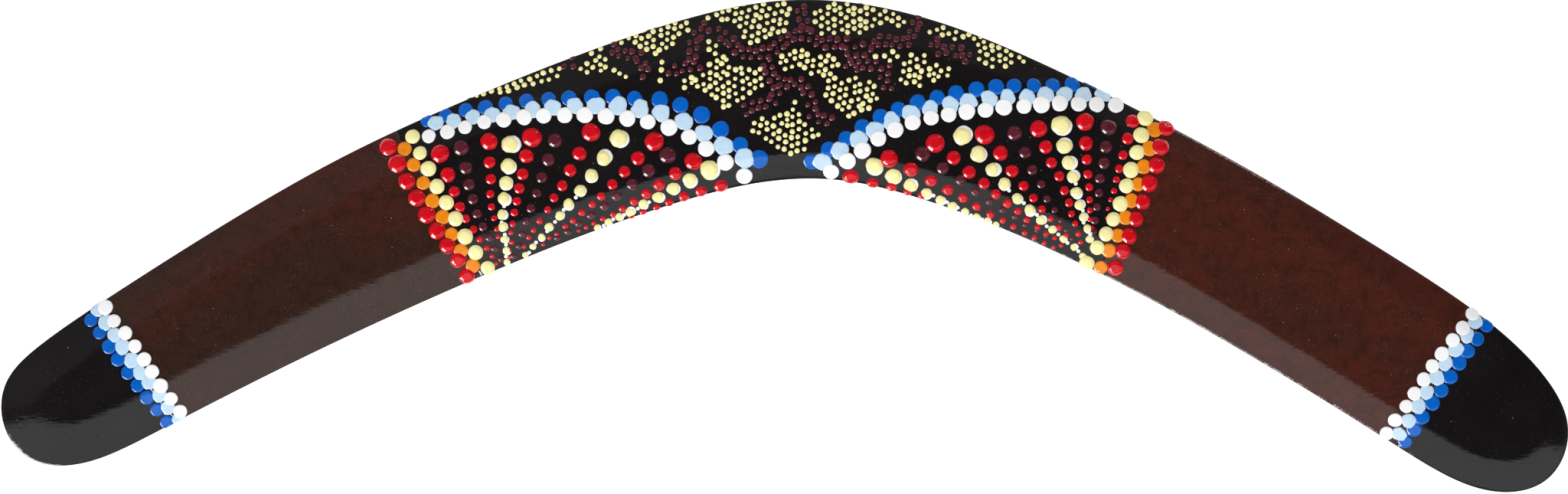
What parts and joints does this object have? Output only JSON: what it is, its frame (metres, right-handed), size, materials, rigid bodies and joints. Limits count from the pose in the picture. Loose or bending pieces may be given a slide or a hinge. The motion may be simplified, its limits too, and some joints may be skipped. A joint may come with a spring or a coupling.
{
  "type": "decorated wooden boomerang",
  "caption": "Flat-backed carved wooden boomerang with a rounded front, gloss base coats and raised rows of dot painting.",
  "frame": {"origin": "on the plane of the flat back, below the middle of the bounding box", "axes": "+X along the span from the left tip to the right one, +Y from the inside of the elbow to its outside, +Z out of the painted front"},
  "size_m": [0.4484, 0.1408, 0.0092],
  "materials": {
    "bare_wood": "sanded and sealed, bare on the back",
    "black_lacquer": "gloss black acrylic lacquer under clear varnish",
    "brown_stain": "dark reddish brown stain under clear gloss varnish",
    "blue_paint": "raised acrylic drops under clear gloss varnish",
    "light_blue_paint": "raised acrylic drops under clear gloss varnish",
    "white_paint": "raised acrylic drops under clear gloss varnish",
    "red_paint": "raised acrylic drops under clear gloss varnish",
    "orange_paint": "raised acrylic drops under clear gloss varnish",
    "yellow_paint": "raised acrylic drops under clear gloss varnish",
    "maroon_paint": "raised acrylic drops under clear gloss varnish"
  },
  "bodies": {
    "root": {"black_coat_centre": "black_lacquer", "black_coat_left_tip": "black_lacquer", "black_coat_right_tip": "black_lacquer", "brown_coat_left_arm": "brown_stain", "brown_coat_right_arm": "brown_stain", "left_arc_blue_row": "blue_paint", "left_arc_light_blue_row": "light_blue_paint", "left_arc_white_row": "white_paint", "left_end_orange_row": "orange_paint", "left_end_red_row": "red_paint", "left_end_yellow_row": "yellow_paint", "left_fan_spoke_01": "red_paint", "left_fan_spoke_02": "maroon_paint", "left_fan_spoke_03": "red_paint", "left_fan_spoke_04": "yellow_paint", "left_fan_spoke_05": "red_paint", "left_fan_spoke_06": "maroon_paint", "left_fan_spoke_07": "red_paint", "left_fan_spoke_08": "yellow_paint", "left_fan_spoke_09": "red_paint", "left_fan_spoke_10": "maroon_paint", "left_fan_spoke_11": "red_paint", "left_fan_spoke_12": "yellow_paint", "left_fan_spoke_13": "red_paint", "left_tip_blue_row": "blue_paint", "left_tip_light_blue_row": "light_blue_paint", "left_tip_white_row": "white_paint", "right_arc_blue_row": "blue_paint", "right_arc_light_blue_row": "light_blue_paint", "right_arc_white_row": "white_paint", "right_end_orange_row": "orange_paint", "right_end_red_row": "red_paint", "right_end_yellow_row": "yellow_paint", "right_fan_spoke_01": "red_paint", "right_fan_spoke_02": "yellow_paint", "right_fan_spoke_03": "red_paint", "right_fan_spoke_04": "maroon_paint", "right_fan_spoke_05": "red_paint", "right_fan_spoke_06": "yellow_paint", "right_fan_spoke_07": "red_paint", "right_fan_spoke_08": "maroon_paint", "right_fan_spoke_09": "red_paint", "right_fan_spoke_10": "yellow_paint", "right_fan_spoke_11": "red_paint", "right_fan_spoke_12": "maroon_paint", "right_fan_spoke_13": "red_paint", "right_tip_blue_row": "blue_paint", "right_tip_light_blue_row": "light_blue_paint", "right_tip_white_row": "white_paint", "wood_blade": "bare_wood"}
  },
  "joints": []
}
